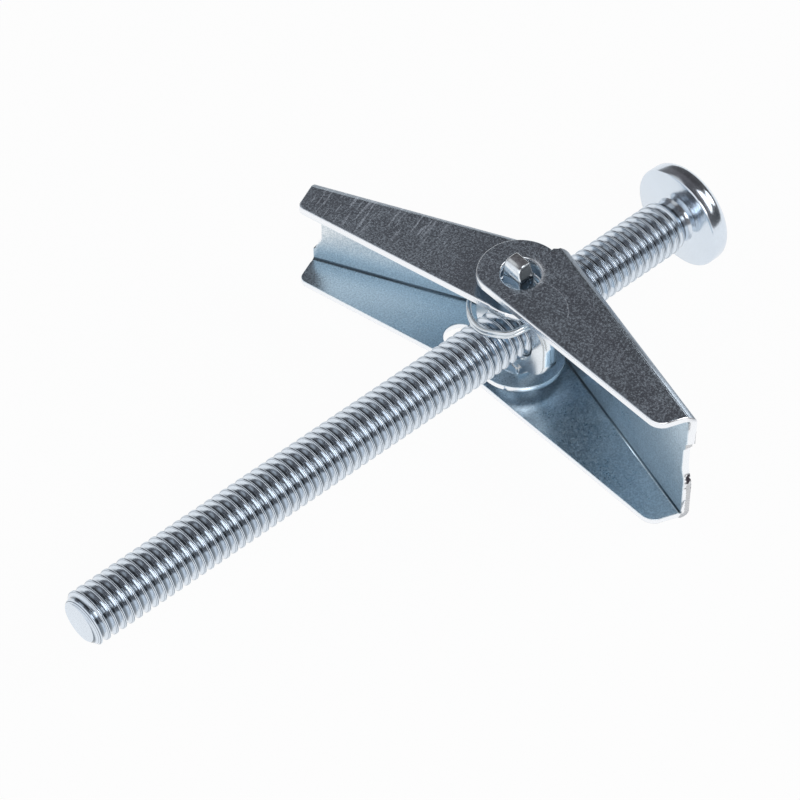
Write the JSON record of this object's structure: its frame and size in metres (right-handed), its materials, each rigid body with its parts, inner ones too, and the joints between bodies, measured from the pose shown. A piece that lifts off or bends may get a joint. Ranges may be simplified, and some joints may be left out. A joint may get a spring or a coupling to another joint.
{
  "type": "spring toggle bolt",
  "caption": "Machine screw with a trunnion nut whose sheet-metal channel wings fold against a coil spring, for fixing into a hollow wall or ceiling.",
  "frame": {"origin": "centre of the head's bearing face, on the screw's axis", "axes": "+X along the screw out through the head; +Z along the nut's stubs, the wings' pivot axis; +Y toward the inner wing"},
  "size_m": [0.0831, 0.0499, 0.0202],
  "materials": {
    "zinc_screw": "bright zinc plate, rolled thread",
    "zinc_nut": "bright zinc plate on a stamped nut",
    "zinc_sheet": "bright zinc plate on stamped sheet, fine scratches",
    "spring_wire": "bright zinc plated wire"
  },
  "bodies": {
    "screw": {"screw": "zinc_screw"},
    "nut": {"trunnion_nut": "zinc_nut", "spring": "spring_wire"},
    "inner_wing": {"inner_wing": "zinc_sheet"},
    "outer_wing": {"outer_wing": "zinc_sheet"}
  },
  "joints": [
    {"name": "nut_travel", "type": "slide", "parent": "screw", "child": "nut", "axis": [1, 0, 0], "range_m": [-0.055, 0.016]},
    {"name": "inner_wing_hinge", "type": "hinge", "parent": "nut", "child": "inner_wing", "pos_m": [-0.0224, 0, 0], "axis": [0, 0, 1], "range_deg": [0, 60], "stiffness_Nm_per_rad": 0.004, "springref_deg": -40.11, "deforming": ["spring"]},
    {"name": "outer_wing_hinge", "type": "hinge", "parent": "nut", "child": "outer_wing", "pos_m": [-0.0224, 0, 0], "axis": [0, 0, -1], "range_deg": [0, 76], "stiffness_Nm_per_rad": 0.004, "springref_deg": -40.11, "deforming": ["spring"]}
  ]
}
